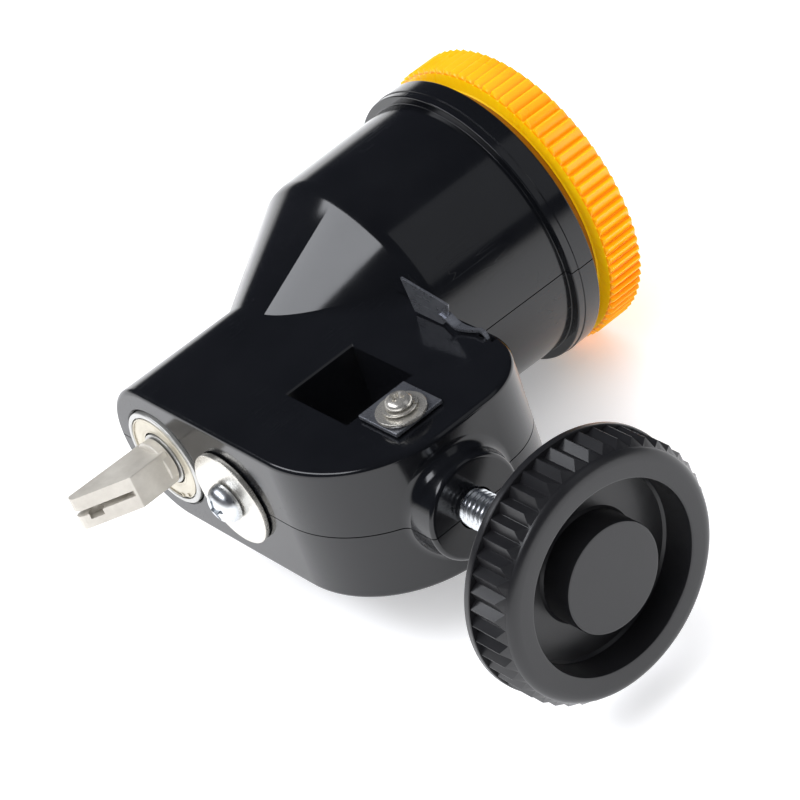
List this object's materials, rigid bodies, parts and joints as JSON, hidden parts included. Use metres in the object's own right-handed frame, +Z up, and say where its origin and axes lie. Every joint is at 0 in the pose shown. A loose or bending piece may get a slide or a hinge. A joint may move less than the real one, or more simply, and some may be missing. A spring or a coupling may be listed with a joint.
{
  "type": "drill bit sharpener",
  "caption": "Drill bit sharpener attachment: clamshell body with a conical grinding wheel on a ball-bearing shaft, a drill guide disc, and a hand screw that clamps it on a square post.",
  "frame": {"origin": "centre of the base of the whole object's bounding box; the lowest points are the lower rim of the selector disc", "axes": "+Y along the drive shaft from the drive tang to the selector disc, +X along the clamp screw towards its knob, +Z up, square to the plane where the two housing shells meet"},
  "size_m": [0.144, 0.1244, 0.068],
  "materials": {
    "housing_plastic": "glossy black moulded plastic with fine scratches",
    "knob_plastic": "satin black moulded plastic",
    "amber_plastic": "translucent amber orange moulded plastic",
    "nickel_steel": "nickel plated steel, lightly ground",
    "bearing_steel": "polished bearing steel",
    "shield_steel": "pressed steel shield",
    "zinc_steel": "bright zinc plated steel",
    "polished_steel": "polished nickel plated steel",
    "spring_steel": "polished spring steel sheet",
    "corundum": "vitrified corundum abrasive",
    "nylon": "natural nylon"
  },
  "bodies": {
    "housing": {"upper_housing": "housing_plastic", "lower_housing": "housing_plastic", "front_bearing_outer_ring": "bearing_steel", "front_bearing_front_shield": "shield_steel", "front_bearing_rear_shield": "shield_steel", "rear_bearing_outer_ring": "bearing_steel", "rear_bearing_front_shield": "shield_steel", "rear_bearing_rear_shield": "shield_steel", "clamp_nut": "zinc_steel", "front_washer": "polished_steel", "front_screw": "polished_steel", "socket_plate": "spring_steel", "plate_washer": "polished_steel", "plate_spring_washer": "polished_steel", "plate_screw": "polished_steel", "pointer_blade": "spring_steel", "housing_screw_1": "zinc_steel", "housing_screw_2": "zinc_steel", "housing_screw_3": "zinc_steel", "housing_screw_4": "zinc_steel"},
    "drive": {"drive_shaft": "nickel_steel", "front_bearing_inner_ring": "bearing_steel", "rear_bearing_inner_ring": "bearing_steel", "bearing_spacer": "zinc_steel", "wheel_sleeve": "zinc_steel", "wheel_rear_washer": "zinc_steel", "grinding_wheel": "corundum", "wheel_front_washer": "zinc_steel", "wheel_nut": "zinc_steel"},
    "ball_cages": {"front_bearing_ball_cage": "bearing_steel", "rear_bearing_ball_cage": "bearing_steel"},
    "selector": {"selector_disc": "amber_plastic"},
    "clamp_tip": {"clamp_pad": "nylon"},
    "clamp_screw": {"clamp_knob": "knob_plastic", "clamp_bolt": "zinc_steel"}
  },
  "joints": [
    {"name": "drive_spin", "type": "hinge", "parent": "housing", "child": "drive", "pos_m": [-0.038, -0.04155, 0.034], "axis": [0, 1, 0], "continuous": true},
    {"name": "cage_spin", "type": "hinge", "parent": "housing", "child": "ball_cages", "pos_m": [-0.038, -0.03805, 0.034], "axis": [0, 1, 0], "continuous": true},
    {"name": "selector_turn", "type": "hinge", "parent": "housing", "child": "selector", "pos_m": [-0.038, 0.05325, 0.034], "axis": [0, 1, 0], "continuous": true},
    {"name": "clamp_travel", "type": "slide", "parent": "housing", "child": "clamp_tip", "axis": [1, 0, 0], "range_m": [-0.0188, 0.0019]},
    {"name": "clamp_turn", "type": "hinge", "parent": "clamp_tip", "child": "clamp_screw", "pos_m": [0.0124, -0.01755, 0.034], "axis": [1, 0, 0], "range_deg": [-5400, 540]}
  ],
  "couplings": [
    {"joint": "cage_spin", "follows": "drive_spin", "ratio": 0.3677},
    {"joint": "clamp_travel", "follows": "clamp_turn", "m_per_rad": 0.00019894}
  ]
}
